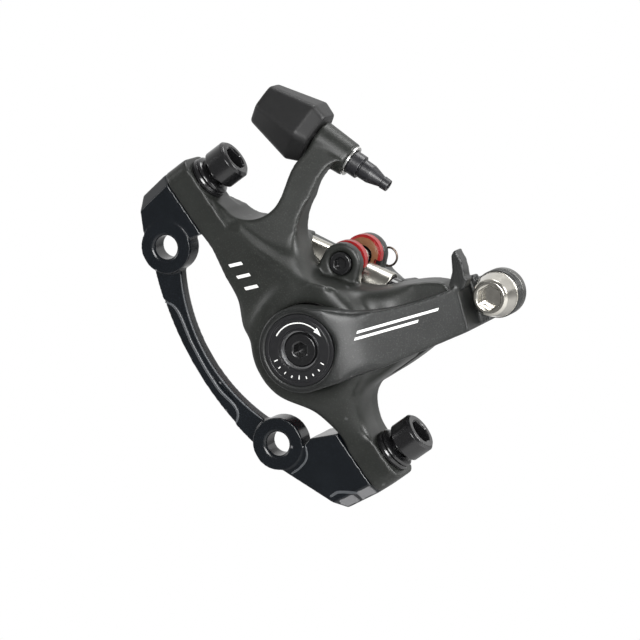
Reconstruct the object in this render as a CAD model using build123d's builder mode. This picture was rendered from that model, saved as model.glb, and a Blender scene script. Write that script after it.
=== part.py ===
# Mechanical disc brake caliper with two swinging levers, on an adapter bracket.
# Millimetres. The origin is midway between the two frame bolt holes, on the face that
# meets the frame. +Z runs along the hole line, +X out to the cable side and +Y inwards,
# towards the rotor, which turns in the plane y = rotor_y.
from build123d import *
import math
import os

os.makedirs("parts", exist_ok=True)

# Standard fastening sizes
frame_spacing = 51.0
post_spacing = 74.2
rotor_y = 15.3
rotor_radius = 80.0
pivot_below_rim = 8.5
rotor_room = 2.7
cut_over = 2.0
run_gap = 0.06
soft_gap = 0.3

# Where the caliper sits on the bracket, and how its own axes lie
post_x = 11.4
post_y = 6.4
post_z = -3.2
post_tilt = 4.8
pivot_x = 20.4
pivot_z = -10.3
rotor_angle = 37.0
lever_length = 39.3
lever_angle = -15.7
barrel_x = 35.9
barrel_z = 36.1
barrel_angle = -62.6

rotor_face = Plane.XZ.offset(-rotor_y)
pivot = (pivot_x, pivot_z)
rotor_arm = rotor_radius - pivot_below_rim
rotor_centre = (
    pivot_x - rotor_arm * math.cos(math.radians(rotor_angle)),
    pivot_z - rotor_arm * math.sin(math.radians(rotor_angle)),
)


def at_y(y):
    """Sketch plane at depth y that faces the viewer, with X to the right and Z up."""
    return Plane.XZ.offset(-y)


def out_at(depth):
    """The same plane, placed by its distance from the rotor plane, on the viewer's side."""
    return at_y(rotor_y - depth)


def turned_at(y, angle):
    """Plane at depth y with its origin on the pivot axis and its first axis at an angle."""
    turn = math.radians(angle)
    return Plane(
        origin=(pivot_x, y, pivot_z), x_dir=(math.cos(turn), 0, math.sin(turn)), z_dir=(0, -1, 0)
    )


def outline(shares, size, origin):
    """Points given as shares of a size, measured from an origin."""
    return [(origin[0] + size * x, origin[1] + size * z) for x, z in shares]


def seat_plane(lift):
    """Plane along the two caliper bolts' seats, its first axis along +Y, lifted by lift."""
    tilt = math.radians(post_tilt)
    normal = Vector(math.cos(tilt), 0, math.sin(tilt))
    return Plane(origin=Vector(post_x, post_y, post_z) + normal * lift, x_dir=(0, 1, 0), z_dir=normal)


def keep(piece, name):
    """Label a finished piece and write it to its own file."""
    piece.part.label = name
    export_step(piece.part, f"parts/{name}.step")


both_posts = [(0, post_spacing / 2), (0, -post_spacing / 2)]

# Brake mechanism of one side: thicknesses counted outwards from the rotor plane
pad_room = 2.3
lining_thick = 2.0
plate_thick = 1.8
foot_thick = 1.5
piston_thick = 2.6
ball_radius = 1.6
ramp_room = 1.2
cam_flange_thick = 2.2
thrust_thick = 0.6
drum_wall = 5.7
lever_room = 0.6
hub_thick = 5.1
lining_back = pad_room + lining_thick
plate_back = lining_back + plate_thick
foot_back = plate_back + foot_thick
piston_back = foot_back + piston_thick
cam_front = piston_back + ramp_room
cam_back = cam_front + cam_flange_thick
thrust_back = cam_back + thrust_thick
drum_face = thrust_back + drum_wall
hub_back = drum_face + lever_room
hub_face = hub_back + hub_thick

# Radii about the pivot axis
drum_radius = 14.2
chamber_wall = 3.0
hub_radius = 9.6
dial_radius = 8.0
dial_hole_radius = 4.3
adjuster_radius = 3.9
cam_wall = 1.8
cam_flats = 9.6
cam_thread_radius = 4.7
bush_wall = 1.2
ball_ring_radius = 7.8
chamber_radius = drum_radius - chamber_wall
cam_bore_radius = adjuster_radius + run_gap
cam_radius = cam_bore_radius + cam_wall
bush_bore_radius = cam_radius + run_gap
bush_radius = bush_bore_radius + bush_wall
piston_radius = chamber_radius - run_gap
key_width = 2.6
key_height = 1.0
foot_radius = 7.0
stud_radius = 2.5
stud_length = 5.9
flange_radius = 5.2
flange_thick = 0.8
adjuster_end = 24.9
adjuster_key = 3.0
adjuster_key_depth = 3.0
adjuster_bore_end = 16.0
dial_groove = 0.3

# How far one full pull of the levers moves each piston
lever_swing = 28.0
piston_stroke = 1.0

# Return springs, one under each lever hub
spring_wire = 0.9
spring_pitch = 1.4
spring_turns = 1.75
spring_radius = bush_radius + 2 * spring_wire
spring_room = spring_wire / 2 + soft_gap
spring_pocket = spring_pitch * spring_turns + spring_wire + soft_gap

# Brake pads: sizes along the rotor's radius and across it
tab_shift = 2.6
plate_half_width = 14.4
plate_top = 9.2
plate_bottom = 11.5
plate_corner = 3.0
tab_width = 6.2
tab_reach = 22.3
tab_head_radius = 4.4
tab_head_from = 17.9
lining_inset = 2.0

# Pad pin and the ears that carry it
pin_reach = 17.5
pin_radius = 2.0
pin_head_radius = 2.6
pin_head_thick = 2.4
pin_head_proud = 0.4
ear_radius = 4.6
ear_front = 9.8
ear_thick = 3.0
ear_foot = 8.5
ear_foot_half = 6.5

pin_end = 11.2
pin_groove = (10.1, 10.6)
pin_groove_radius = 1.55
pin_key = 2.5
pin_key_depth = 1.5
clip_wire = 0.5
clip_ring_radius = 2.15
clip_reach = 4.24
clip_angle = -45.0
saddle_thick = 0.35
saddle_half = 1.9
saddle_foot = 10.6

# Polished sleeves over the two cross pins of the bridge
sleeve_reach = 14.0
sleeve_radius = 4.0
sleeve_wall = 0.8
upper_sleeve = (6.5, 14.4)
lower_sleeve = (-7.4, -0.9)
cross_pin_grip = 2.3

# Forged body
web_face = 14.8
rotor_gap = 2.7
pad_pocket_room = 0.4
seat_thick = 6.2
seat_width = 12.2
seat_round = 6.1
slot_width = 6.8
slot_length = 9.6
arm_fall_from = 14.4
arm_fall_to = 38.3
arm_rear = 4.0
arm_rear_from = 18.5
arm_rear_to = 31.0
boss_radius = 4.6
boss_end_radius = 4.0
flank_foot = 10.0
flank_taper = 32.0
flank_heading = 105.7
flank_from = 10.0
flank_to = 34.0
neck_heading = -101.0
neck_to = 24.0
tail_radius = 30.2
tail_face = 6.56
body_screw_radius = 2.0
body_screw_head_radius = 3.5
body_screw_head_thick = 3.0
body_screw_floor = 5.0
body_screw_grip = 8.0
inner_reach = 36.0
inner_side = 54.0
inner_corner = 13.0
inner_low = 5.0
inner_rise = 14.4
screw_key = 3.0
body_screw_places = [(11.0, 21.5), (13.5, -17.5)]

# Levers and cable anchor
lug_radius = 5.4
lug_thick = 1.5
lever_bend = 9.8
lever_end_face = 10.3
lever_far_bend = 12.6
sweep_start = -62.0
sweep_end = 41.0
lever_lug_wall = 3.0
anchor_thread_radius = 2.5
anchor_head_front_radius = 3.75
anchor_head_back_radius = 5.0
anchor_head_length = 5.0
anchor_washer_thick = 0.5
anchor_nut_thick = 3.6
anchor_nut_collar = 2.0
anchor_nut_flats = 8.0
anchor_key_depth = 3.2
finger_back = 6.2
nut_thick = 1.6
lock_nut_radius = 7.0
dial_thick = 1.1
dial_sunk = 0.2
dial_floor = hub_face - dial_thick - dial_sunk
nut_floor = dial_floor - nut_thick

# Barrel adjuster, along its own axis from the middle of the knob
knob_front = 7.0
knob_back = 8.0
boss_start = 7.3
boss_end = 16.2
barrel_radius = 2.95
cable_radius = 0.9
housing_radius = 2.6
housing_depth = 8.5
insert_thick = 0.5
nozzle_length = 10.2
nozzle_steps = [(2.8, 0.0, 2.6), (1.9, 2.6, 2.9), (2.2, 2.9, 5.3), (1.45, 8.5, 10.2)]
nozzle_cone = (2.2, 1.3, 5.3, 8.5)
knob_sections = [(4.6, -8.0), (4.9, -7.6), (7.2, 3.8), (6.0, 7.0)]
knob_corner = 1.8

# Bracket
frame_hole_radius = 2.75
frame_hole_rim_radius = 3.4
frame_rim_depth = 0.35
frame_boss_radius = 6.0
frame_boss_thick = 5.6
arc_face = 1.2
arc_thick = 3.4
arc_step = 0.5
post_bevel = 2.6
post_face = 0.2
post_back = 12.4
bolt_head_radius = 4.65
bolt_head_length = 5.2
bolt_thread_radius = 2.95
bolt_thread_depth = 9.0
bolt_lift = 9.7
washer_radius = 5.0
washer_thick = 1.2
washer_room = 0.6
bolt_head_edge = 0.4
bolt_key = 5.0
bolt_key_depth = 3.0
post_depth_share = 0.135
boss_side_share = 0.55


def stack(plane, steps):
    """A turned piece: steps of (radius, start, end) along the plane's normal."""
    with BuildPart() as turned:
        for radius, start, end in steps:
            with BuildSketch(plane.offset(start)):
                Circle(radius)
            extrude(amount=end - start)
    return turned.part


def cone_at(plane, start_radius, end_radius, start, end):
    """A cone or taper between two distances along the plane's normal."""
    with BuildPart() as taper:
        with BuildSketch(plane.offset(start)):
            Circle(start_radius)
        with BuildSketch(plane.offset(end)):
            Circle(end_radius)
        loft()
    return taper.part


# Planes of the mechanism: the pivot axis, the lever and the pad's own axes
axis_plane = Plane(origin=(pivot_x, rotor_y, pivot_z), x_dir=(1, 0, 0), z_dir=(0, -1, 0))
pad_plane = turned_at(rotor_y, rotor_angle)
lever_plane = turned_at(rotor_y, lever_angle)
pad_turn = math.radians(rotor_angle)
radial = Vector(math.cos(pad_turn), 0, math.sin(pad_turn))
across = Vector(-math.sin(pad_turn), 0, math.cos(pad_turn))
pivot_point = Vector(pivot_x, rotor_y, pivot_z)
lever_turn = math.radians(lever_angle)
along_lever = Vector(math.cos(lever_turn), 0, math.sin(lever_turn))
anchor_plane = Plane(
    origin=pivot_point + along_lever * lever_length, x_dir=along_lever, z_dir=(0, -1, 0)
)
pin_plane = Plane(
    origin=pivot_point + radial * pin_reach + across * tab_shift, x_dir=radial, z_dir=(0, -1, 0)
)
cross_plane = Plane(origin=pivot_point + radial * sleeve_reach, x_dir=(0, 1, 0), z_dir=across)
barrel_turn = math.radians(barrel_angle)
barrel_plane = Plane(
    origin=(barrel_x, rotor_y, barrel_z),
    x_dir=(0, 1, 0),
    z_dir=(math.cos(barrel_turn), 0, math.sin(barrel_turn)),
)

# Outlines of the forged body, as shares of the post spacing from the pivot
band_shares = [(-0.162, 0.550), (-0.144, 0.395), (-0.142, 0.226), (-0.167, 0.152), (-0.142, -0.125)]
neck_shares = [(-0.108, -0.177), (-0.094, -0.244), (-0.081, -0.326)]
neck_side_shares = [(-0.008, -0.326), (0.003, -0.271), (0.027, -0.222), (0.082, -0.193)]
tail_shares = [(0.197, -0.182), (0.345, -0.137)]
tail_end_shares = [(0.394, -0.101), (0.407, -0.066), (0.405, -0.035)]
ledge_shares = [(0.380, -0.015), (0.300, 0.022), (0.232, 0.050), (0.172, 0.093), (0.133, 0.139)]
window_shares = [(0.133, 0.139), (0.085, 0.204), (0.083, 0.259), (0.117, 0.337), (0.179, 0.387)]
arm_shares = [(0.179, 0.387), (0.230, 0.427), (0.284, 0.445), (0.307, 0.437)]
arm_end_shares = [(0.307, 0.437), (0.256, 0.534), (0.205, 0.511)]
notch_shares = [(0.205, 0.511), (0.129, 0.459), (0.075, 0.417), (0.032, 0.412),
                (-0.020, 0.434), (-0.055, 0.490)]
ear_side_shares = [(-0.055, 0.490), (-0.081, 0.550), (-0.162, 0.550)]
crease_shares = [(-0.021, 0.482), (0.021, 0.396), (0.055, 0.340), (0.094, 0.287),
                 (0.139, 0.229), (0.188, 0.175)]
flank_back_shares = [(0.188, -0.080), (-0.300, -0.080), (-0.300, 0.482)]
neck_rise_shares = [(0.040, -0.080), (0.036, -0.150), (0.028, -0.215)]
neck_back_shares = [(0.060, -0.250), (0.060, -0.500), (-0.300, -0.500), (-0.300, -0.080)]


def web_sketch(y):
    """Outline of the outer body's web: band, necks, tail, window edge and cable arm."""
    def place(shares):
        return outline(shares, post_spacing, pivot)

    with BuildSketch(at_y(y)) as web:
        with BuildLine():
            Polyline(*place(band_shares + neck_shares + neck_side_shares[:1]))
            Spline(*place(neck_side_shares))
            Polyline(*place(neck_side_shares[-1:] + tail_shares + tail_end_shares[:1]))
            ThreePointArc(*place(tail_end_shares))
            Spline(*place(tail_end_shares[-1:] + ledge_shares))
            Spline(*place(window_shares))
            Spline(*place(arm_shares))
            Polyline(*place(arm_end_shares))
            Spline(*place(notch_shares))
            Polyline(*place(ear_side_shares))
        make_face()
    return web.sketch


def pad_axes_box(start, end, low, high, left, right):
    """A block over pad axes: low to high along the radius, left to right across it."""
    with BuildPart() as block:
        with BuildSketch(pad_plane.offset(start)):
            with Locations(((low + high) / 2, (left + right) / 2)):
                Rectangle(high - low, right - left)
        extrude(amount=end - start)
    return block.part


def sweep_room():
    """The space that a lever's slanted arm sweeps over the tail, turned about the pivot."""
    far = tail_radius + post_spacing
    fall = (drum_face - tail_face) / (tail_radius - lever_far_bend)
    start = math.radians(sweep_start)
    first = Vector(math.cos(start), 0, math.sin(start))
    section = Plane(origin=pivot_point, x_dir=first, z_dir=first.cross(Vector(0, -1, 0)))
    with BuildPart() as room:
        with BuildSketch(section):
            with BuildLine():
                Polyline(
                    (lever_far_bend, drum_face),
                    (far, drum_face - fall * (far - lever_far_bend)),
                    (far, drum_face),
                    close=True,
                )
            make_face()
        revolve(axis=Axis(pivot_point, (0, -1, 0)), revolution_arc=sweep_end - sweep_start)
    return room.part


def arm_fall_room():
    """What is cut from the front of the arm, so that its face falls back to the barrel boss."""
    far = arm_fall_to + post_spacing
    fall = (web_face - boss_radius) / (arm_fall_to - arm_fall_from)
    section = Plane(origin=pivot_point, x_dir=radial, z_dir=radial.cross(Vector(0, -1, 0)))
    with BuildPart() as room:
        with BuildSketch(section):
            with BuildLine():
                Polyline(
                    (arm_fall_from, web_face),
                    (far, web_face - fall * (far - arm_fall_from)),
                    (far, web_face),
                    close=True,
                )
            make_face()
        extrude(amount=post_spacing, both=True)
    return room.part


def arm_rear_room():
    """What is cut from the back of the arm: flat beside the rotor, then back to the barrel."""
    section = Plane(origin=pivot_point, x_dir=radial, z_dir=radial.cross(Vector(0, -1, 0)))
    with BuildPart() as room:
        with BuildSketch(section):
            with BuildLine():
                Polyline(
                    (arm_rear_from, -cut_over),
                    (arm_rear_from, arm_rear),
                    (arm_rear_to, arm_rear),
                    (arm_fall_to, 0),
                    (arm_fall_to, -cut_over),
                    close=True,
                )
            make_face()
        extrude(amount=-post_spacing)
    return room.part


def flank(web, curve, back, heading, end, taper):
    """The body's face between drum and bolt ear: level with the drum, then falling to the web."""
    turn = math.radians(heading)
    first = Vector(math.cos(turn), 0, math.sin(turn))
    section = Plane(origin=pivot_point, x_dir=first, z_dir=first.cross(Vector(0, -1, 0)))
    with BuildPart() as rise:
        with BuildSketch(out_at(flank_foot)):
            with BuildLine():
                Spline(*outline(curve, post_spacing, pivot))
                Polyline(*outline(curve[-1:] + back + curve[:1], post_spacing, pivot))
            make_face()
        extrude(amount=drum_face - flank_foot, taper=taper)
        with BuildSketch(section):
            with BuildLine():
                Polyline(
                    (-post_spacing, 0),
                    (-post_spacing, drum_face),
                    (flank_from, drum_face),
                    (end, web_face),
                    (post_spacing, web_face),
                    (post_spacing, 0),
                    close=True,
                )
            make_face()
        extrude(amount=post_spacing, both=True, mode=Mode.INTERSECT)
        extrude(to_extrude=web, amount=drum_face, mode=Mode.INTERSECT)
    return rise.part


def chamber_cuts():
    """Everything bored out of one half about the pivot axis, with the piston's keyway."""
    with BuildPart() as cuts:
        with BuildSketch(axis_plane):
            Circle(chamber_radius)
        extrude(amount=thrust_back)
        with BuildSketch(axis_plane):
            Circle(bush_radius)
        extrude(amount=drum_face + cut_over)
        with BuildSketch(axis_plane.offset(drum_face - spring_pocket)):
            Circle(spring_radius + spring_room)
            Circle(spring_radius - spring_room, mode=Mode.SUBTRACT)
        extrude(amount=spring_pocket + cut_over)
        with BuildSketch(lever_plane):
            with Locations((0, chamber_radius)):
                Rectangle(key_width, 2 * key_height)
        extrude(amount=cam_front)
    return cuts.part


def half_body(web, rooms):
    """One forged half: web, drum and flanks, less its rooms, then pin ear, chamber and pad pocket."""
    with BuildPart() as half:
        extrude(to_extrude=web, amount=web_face)
        add(arm_fall_room(), mode=Mode.SUBTRACT)
        with BuildSketch(axis_plane):
            Circle(drum_radius)
        extrude(amount=drum_face)
        add(flank(web, crease_shares, flank_back_shares, flank_heading, flank_to, flank_taper))
        add(flank(web, neck_rise_shares, neck_back_shares, neck_heading, neck_to, 0))
        for room in rooms:
            add(room, mode=Mode.SUBTRACT)
        with BuildSketch(pin_plane.offset(ear_front - ear_thick)):
            Circle(ear_radius)
            with BuildLine():
                Polyline(
                    (0, ear_radius),
                    (ear_foot - pin_reach, ear_foot_half),
                    (ear_foot - pin_reach, -ear_foot_half),
                    (0, -ear_radius),
                    close=True,
                )
            make_face()
        extrude(amount=ear_thick)
        with BuildSketch(pin_plane):
            Circle(pin_radius + run_gap)
        extrude(amount=ear_front + cut_over, mode=Mode.SUBTRACT)
        add(chamber_cuts(), mode=Mode.SUBTRACT)
        pocket_back = plate_back + pad_pocket_room
        low = -plate_bottom - post_spacing
        half_width = plate_half_width + pad_pocket_room
        add(
            pad_axes_box(0, pocket_back, low, plate_top + pad_pocket_room,
                         tab_shift - half_width, tab_shift + half_width),
            mode=Mode.SUBTRACT,
        )
        tab_half = tab_width / 2 + pad_pocket_room
        add(
            pad_axes_box(0, pocket_back, 0, tab_reach,
                         tab_shift - tab_half, tab_shift + tab_half),
            mode=Mode.SUBTRACT,
        )
        with BuildSketch(axis_plane):
            with Locations((rotor_centre[0] - pivot_x, rotor_centre[1] - pivot_z)):
                Circle(rotor_radius + rotor_room)
        extrude(amount=rotor_gap, mode=Mode.SUBTRACT)
        trough_low = lower_sleeve[0] - pad_pocket_room
        trough_high = upper_sleeve[1] + pad_pocket_room
        add(
            stack(cross_plane, [(sleeve_radius + soft_gap, trough_low, trough_high)]),
            mode=Mode.SUBTRACT,
        )
        pin_low = lower_sleeve[0] - cross_pin_grip
        pin_high = upper_sleeve[1] + cross_pin_grip
        add(stack(cross_plane, [(cross_pin_radius, pin_low, pin_high)]), mode=Mode.SUBTRACT)
    return half.part


# Outer half of the body, with the bolt ears and the arm for the barrel adjuster
cross_pin_radius = sleeve_radius - sleeve_wall - run_gap
shared_rooms = [sweep_room(), arm_rear_room()]
outer_half = half_body(web_sketch(rotor_y), shared_rooms)
with BuildPart() as outer_body:
    add(outer_half)
    with BuildSketch(seat_plane(0)):
        with Locations(*both_posts):
            Rectangle(3 * seat_width, 2 * (post_depth_share * post_spacing + soft_gap))
    extrude(amount=-post_spacing, mode=Mode.SUBTRACT)
    for side in (1, -1):
        with BuildSketch(seat_plane(0)):
            with Locations((0, side * post_spacing / 2)):
                RectangleRounded(seat_width, 2 * seat_round, seat_round / 2)
            with Locations((0, side * (post_spacing / 2 - seat_round))):
                Rectangle(seat_width, 2 * seat_round)
        extrude(amount=seat_thick)
        with BuildSketch(seat_plane(-cut_over)):
            with Locations((0, side * post_spacing / 2)):
                SlotOverall(slot_length, slot_width)
        extrude(amount=seat_thick + 2 * cut_over, mode=Mode.SUBTRACT)
    add(cone_at(barrel_plane, boss_radius, boss_end_radius, boss_start, boss_end))
    with BuildSketch(barrel_plane.offset(boss_start - cut_over)):
        Circle(barrel_radius + run_gap)
    extrude(amount=boss_end - boss_start + 2 * cut_over, mode=Mode.SUBTRACT)
    with BuildSketch(pin_plane.offset(ear_front - pin_head_thick + pin_head_proud)):
        Circle(pin_head_radius + run_gap)
    extrude(amount=pin_head_thick, mode=Mode.SUBTRACT)
    with BuildSketch(pad_plane):
        with Locations(*body_screw_places):
            Circle(body_screw_radius)
    extrude(amount=body_screw_grip, mode=Mode.SUBTRACT)
keep(outer_body, "outer_body")

# Inner half of the body: the same forging without the ears and the arm, and low beside the
# bridge, where it only carries the ends of the cross pins
with BuildSketch(at_y(rotor_y)) as inner_web:
    add(web_sketch(rotor_y))
    with Locations(pivot):
        RectangleRounded(
            inner_reach, inner_side, inner_corner, rotation=rotor_angle, mode=Mode.INTERSECT
        )
    with Locations((pivot_x, pivot_z + inner_side - drum_radius)):
        Rectangle(2 * inner_side, 2 * inner_side, mode=Mode.INTERSECT)
low_room = pad_axes_box(inner_low, drum_face + cut_over, inner_rise, post_spacing,
                        -post_spacing, post_spacing)
bridge_room = pad_axes_box(
    0, drum_face, inner_rise, post_spacing,
    lower_sleeve[0] - pad_pocket_room, upper_sleeve[1] + pad_pocket_room,
)
inner_half = half_body(inner_web.sketch, shared_rooms + [low_room, bridge_room])
with BuildPart() as inner_body:
    mirror(inner_half, about=rotor_face)
    with BuildSketch(pin_plane.offset(-ear_front - cut_over)):
        Circle(pin_radius + run_gap)
    extrude(amount=cut_over + ear_thick + cut_over, mode=Mode.SUBTRACT)
    with BuildSketch(pad_plane):
        with Locations(*body_screw_places):
            Circle(body_screw_radius + run_gap)
    extrude(amount=-drum_face, mode=Mode.SUBTRACT)
    with BuildSketch(pad_plane.offset(-body_screw_floor)):
        with Locations(*body_screw_places):
            Circle(body_screw_head_radius + soft_gap)
    extrude(amount=-drum_face, mode=Mode.SUBTRACT)
keep(inner_body, "inner_body")

# Two screws pull the halves together; their heads are on the wheel's side
with BuildPart() as body_screws:
    with BuildSketch(pad_plane.offset(-body_screw_floor)):
        with Locations(*body_screw_places):
            Circle(body_screw_head_radius)
            RegularPolygon(screw_key / 2, 6, major_radius=False, mode=Mode.SUBTRACT)
    extrude(amount=-body_screw_head_thick)
    with BuildSketch(pad_plane.offset(-body_screw_floor)):
        with Locations(*body_screw_places):
            Circle(body_screw_radius - run_gap)
    extrude(amount=body_screw_floor + body_screw_grip - run_gap)
keep(body_screws, "body_screws")

# Bracket: two round frame bosses, the thin arc between them and two solid posts
arc_outer = [(-0.100, 0.470), (-0.179, 0.000), (-0.100, -0.470)]
arc_inner = [(0.010, 0.400), (-0.098, 0.005), (0.010, -0.410)]
arc_step_shares = [(-0.147, 0.315), (-0.111, 0.244), (-0.138, -0.022), (-0.099, -0.287), (-0.143, -0.330)]
arc_step_back_shares = [(-0.143, -0.330), (-0.250, -0.330), (-0.250, 0.315), (-0.147, 0.315)]
upper_post_shares = [(-0.060, 0.610), (-0.022, 0.696), (0.006, 0.753)]
lower_post_shares = [(-0.040, -0.617), (0.122, -0.898)]
post_top = post_spacing / 2 + seat_round
post_bottom = post_spacing / 2 - post_depth_share * post_spacing


def on_seat(v):
    """Point of the seats' line in the X and Z of the front view."""
    tilt = math.radians(post_tilt)
    return (post_x - v * math.sin(tilt), post_z + v * math.cos(tilt))


def between(start, end, share):
    """Point at a share of the way from start to end."""
    return (start[0] + share * (end[0] - start[0]), start[1] + share * (end[1] - start[1]))


frame_top = (0, frame_spacing / 2)
frame_low = (0, -frame_spacing / 2)
with BuildPart() as mount_bracket:
    with BuildSketch(at_y(arc_face + arc_thick)):
        with BuildLine():
            ThreePointArc(*outline(arc_outer, frame_spacing, (0, 0)))
            Line(*outline([arc_outer[2], arc_inner[2]], frame_spacing, (0, 0)))
            ThreePointArc(*outline(arc_inner, frame_spacing, (0, 0)))
            Line(*outline([arc_inner[0], arc_outer[0]], frame_spacing, (0, 0)))
        make_face()
    extrude(amount=arc_thick)
    top_points = outline(upper_post_shares, frame_spacing, (0, 0))
    low_points = outline(lower_post_shares, frame_spacing, (0, 0))
    with BuildSketch(at_y(post_back)):
        with BuildLine():
            Polyline(
                between(frame_top, on_seat(post_bottom), boss_side_share),
                *top_points,
                on_seat(post_top),
                on_seat(post_bottom),
                close=True,
            )
        make_face()
        with BuildLine():
            Polyline(
                between(frame_low, on_seat(-post_bottom), boss_side_share),
                *low_points,
                on_seat(-post_top),
                on_seat(-post_bottom),
                close=True,
            )
        make_face()
    extrude(amount=post_back - post_face)
    near_edges = mount_bracket.edges().group_by(Axis.Y)[0]
    chamfer(near_edges.group_by(Axis.Z)[0] + near_edges.group_by(Axis.Z)[-1], post_bevel)
    with BuildSketch(at_y(arc_face + arc_step)):
        with BuildLine():
            Spline(*outline(arc_step_shares, frame_spacing, (0, 0)))
            Polyline(*outline(arc_step_back_shares, frame_spacing, (0, 0)))
        make_face()
    extrude(amount=arc_step, mode=Mode.SUBTRACT)
    with BuildSketch(at_y(frame_boss_thick)):
        with Locations(frame_top, frame_low):
            Circle(frame_boss_radius)
    extrude(amount=frame_boss_thick)
    with BuildSketch(at_y(post_back)):
        with Locations(frame_top, frame_low):
            Circle(frame_boss_radius + cut_over)
    extrude(amount=post_back - frame_boss_thick, mode=Mode.SUBTRACT)
    with BuildSketch(at_y(post_back)):
        with Locations(frame_top, frame_low):
            Circle(frame_hole_radius)
    extrude(amount=post_back + cut_over, mode=Mode.SUBTRACT)
    for centre in (frame_top, frame_low):
        rim = frame_hole_rim_radius
        mouth = Plane(origin=(centre[0], 0, centre[1]), x_dir=(1, 0, 0), z_dir=(0, -1, 0))
        add(cone_at(mouth, frame_hole_radius, rim, -frame_rim_depth, 0), mode=Mode.SUBTRACT)
    with BuildSketch(seat_plane(-bolt_thread_depth)):
        with Locations(*both_posts):
            Circle(bolt_thread_radius + run_gap)
    extrude(amount=bolt_thread_depth + cut_over, mode=Mode.SUBTRACT)
keep(mount_bracket, "mount_bracket")

# Two socket bolts hold the ears to the bracket's posts
with BuildPart() as mount_bolts:
    with BuildSketch(seat_plane(bolt_lift)):
        with Locations(*both_posts):
            Circle(bolt_head_radius)
    extrude(amount=bolt_head_length)
    fillet(mount_bolts.edges().filter_by(GeomType.CIRCLE), bolt_head_edge)
    with BuildSketch(seat_plane(bolt_lift + bolt_head_length)):
        with Locations(*both_posts):
            RegularPolygon(bolt_key / 2, 6, major_radius=False)
    extrude(amount=-bolt_key_depth, mode=Mode.SUBTRACT)
    with BuildSketch(seat_plane(run_gap - bolt_thread_depth)):
        with Locations(*both_posts):
            Circle(bolt_thread_radius)
    extrude(amount=bolt_thread_depth + bolt_lift)
keep(mount_bolts, "mount_bolts")

# Dished and domed washers under the bolt heads let the caliper tilt
with BuildPart() as dished_washers:
    with BuildSketch(seat_plane(seat_thick)):
        with Locations(*both_posts):
            Circle(washer_radius)
            Circle(bolt_thread_radius + washer_room, mode=Mode.SUBTRACT)
    extrude(amount=washer_thick)
keep(dished_washers, "dished_washers")

with BuildPart() as domed_washers:
    with BuildSketch(seat_plane(seat_thick + washer_thick)):
        with Locations(*both_posts):
            Circle(washer_radius)
            Circle(bolt_thread_radius + run_gap, mode=Mode.SUBTRACT)
    extrude(amount=washer_thick)
    rims = domed_washers.edges().filter_by(GeomType.CIRCLE)
    fillet(rims.sort_by(SortBy.RADIUS)[-4:], washer_thick / 3)
keep(domed_washers, "domed_washers")

# Levers
top_edge_shares = [(0.1147, 0.2157), (0.239, 0.173), (0.422, 0.112), (0.616, 0.089), (0.80, 0.098)]
end_edge_shares = [(0.862, 0.117), (0.862, -0.150)]
low_edge_shares = [(0.412, -0.214), (0.0185, -0.2436)]
finger_shares = [(0.80, 0.098), (0.857, 0.196), (0.876, 0.286), (0.898, 0.310), (0.923, 0.308)]
finger_back_shares = [(0.955, 0.250), (0.966, 0.140), (0.91, 0.09)]
side_plane = Plane(
    origin=pivot_point, x_dir=along_lever, z_dir=along_lever.cross(Vector(0, -1, 0))
)
lug_wall_end = lever_length - lug_radius
lug_wall_start = lug_wall_end - lever_lug_wall
far_fall = (hub_back - tail_face) / (tail_radius - lever_far_bend)
with BuildPart() as lever_band:
    with BuildSketch(lever_plane):
        with BuildLine():
            Spline(*outline(top_edge_shares, lever_length, (0, 0)))
            Polyline(*outline(top_edge_shares[-1:] + end_edge_shares, lever_length, (0, 0)))
            Polyline(*outline(end_edge_shares[-1:] + low_edge_shares, lever_length, (0, 0)))
            Line(*outline([low_edge_shares[-1], top_edge_shares[0]], lever_length, (0, 0)))
        make_face()
    extrude(amount=hub_face)
    with BuildSketch(side_plane):
        with BuildLine():
            Polyline(
                (0, hub_face),
                (lever_bend, hub_face),
                (lug_wall_end, lever_end_face),
                (lug_wall_end, 0),
                (lug_wall_start, 0),
                (lug_wall_start, hub_back - far_fall * (lug_wall_start - lever_far_bend)),
                (lever_far_bend, hub_back),
                (0, hub_back),
                close=True,
            )
        make_face()
    extrude(amount=lever_length, both=True, mode=Mode.INTERSECT)

with BuildPart() as outer_lever:
    add(lever_band)
    with BuildSketch(axis_plane.offset(hub_back)):
        Circle(hub_radius)
    extrude(amount=hub_thick)
    with BuildSketch(anchor_plane):
        Circle(lug_radius)
        with Locations((-lug_radius, 0)):
            Rectangle(lever_lug_wall, 2 * lug_radius)
    extrude(amount=lug_thick)
    with BuildSketch(lever_plane.offset(finger_back)):
        with BuildLine():
            Polyline(
                *outline(finger_shares + finger_back_shares, lever_length, (0, 0)), close=True
            )
        make_face()
    extrude(amount=lever_end_face - finger_back)
    with BuildSketch(anchor_plane.offset(lug_thick)):
        Circle(lug_radius)
    extrude(amount=hub_face, mode=Mode.SUBTRACT)
    with BuildSketch(anchor_plane):
        Circle(anchor_thread_radius + run_gap)
    extrude(amount=hub_face, mode=Mode.SUBTRACT)
    with BuildSketch(lever_plane):
        Circle(cam_radius + run_gap)
        Rectangle(cam_flats + 2 * run_gap, 2 * hub_radius, mode=Mode.INTERSECT)
    extrude(amount=hub_face, mode=Mode.SUBTRACT)
    with BuildSketch(axis_plane.offset(nut_floor)):
        Circle(lock_nut_radius + run_gap)
    extrude(amount=hub_face, mode=Mode.SUBTRACT)
    with BuildSketch(axis_plane.offset(dial_floor)):
        Circle(dial_radius + run_gap)
    extrude(amount=hub_face, mode=Mode.SUBTRACT)
keep(outer_lever, "outer_lever")

with BuildPart() as inner_lever:
    mirror(outer_lever.part, about=rotor_face)
keep(inner_lever, "inner_lever")

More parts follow.
